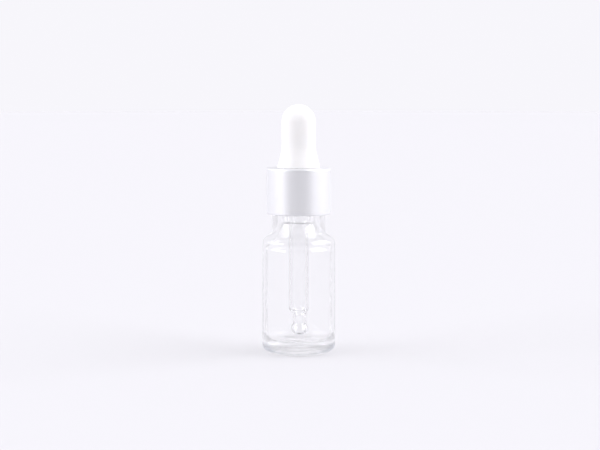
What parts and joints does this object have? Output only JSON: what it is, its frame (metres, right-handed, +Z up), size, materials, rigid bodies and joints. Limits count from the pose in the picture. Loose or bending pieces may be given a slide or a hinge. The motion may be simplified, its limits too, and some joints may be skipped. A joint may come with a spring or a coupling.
{
  "type": "dropper bottle",
  "caption": "Small clear glass bottle with a smooth screw collar, a squeeze bulb and a ball-tipped glass pipette that lifts out with the collar.",
  "frame": {"origin": "centre of the circle that the bottle stands on", "axes": "+Z up along the bottle's own axis"},
  "size_m": [0.0248, 0.0248, 0.0835],
  "materials": {
    "bottle_glass": "polished clear flint glass",
    "pipette_glass": "polished clear drawn glass",
    "collar_plastic": "satin moulded white",
    "cap_plastic": "plain moulded white",
    "bulb_silicone": "soft satin white silicone"
  },
  "bodies": {
    "bottle": {"bottle": "bottle_glass"},
    "dropper": {"pipette": "pipette_glass"},
    "collar": {"inner_cap": "cap_plastic", "collar_shell": "collar_plastic"},
    "bulb": {"bulb": "bulb_silicone"}
  },
  "joints": [
    {"name": "lift_out", "type": "slide", "parent": "bottle", "child": "dropper", "axis": [0, 0, 1], "range_m": [0, 0.05556]},
    {"name": "unscrew", "type": "hinge", "parent": "dropper", "child": "collar", "pos_m": [0, 0, 0.05], "axis": [0, 0, 1], "range_deg": [0, 6300]},
    {"name": "bulb_squeeze", "type": "slide", "parent": "dropper", "child": "bulb", "axis": [0, 1, 0], "range_m": [0, 0.003], "stiffness_N_per_m": 900, "deforming": ["bulb"]}
  ],
  "couplings": [
    {"joint": "unscrew", "follows": "lift_out", "rad_per_m": 1979}
  ]
}
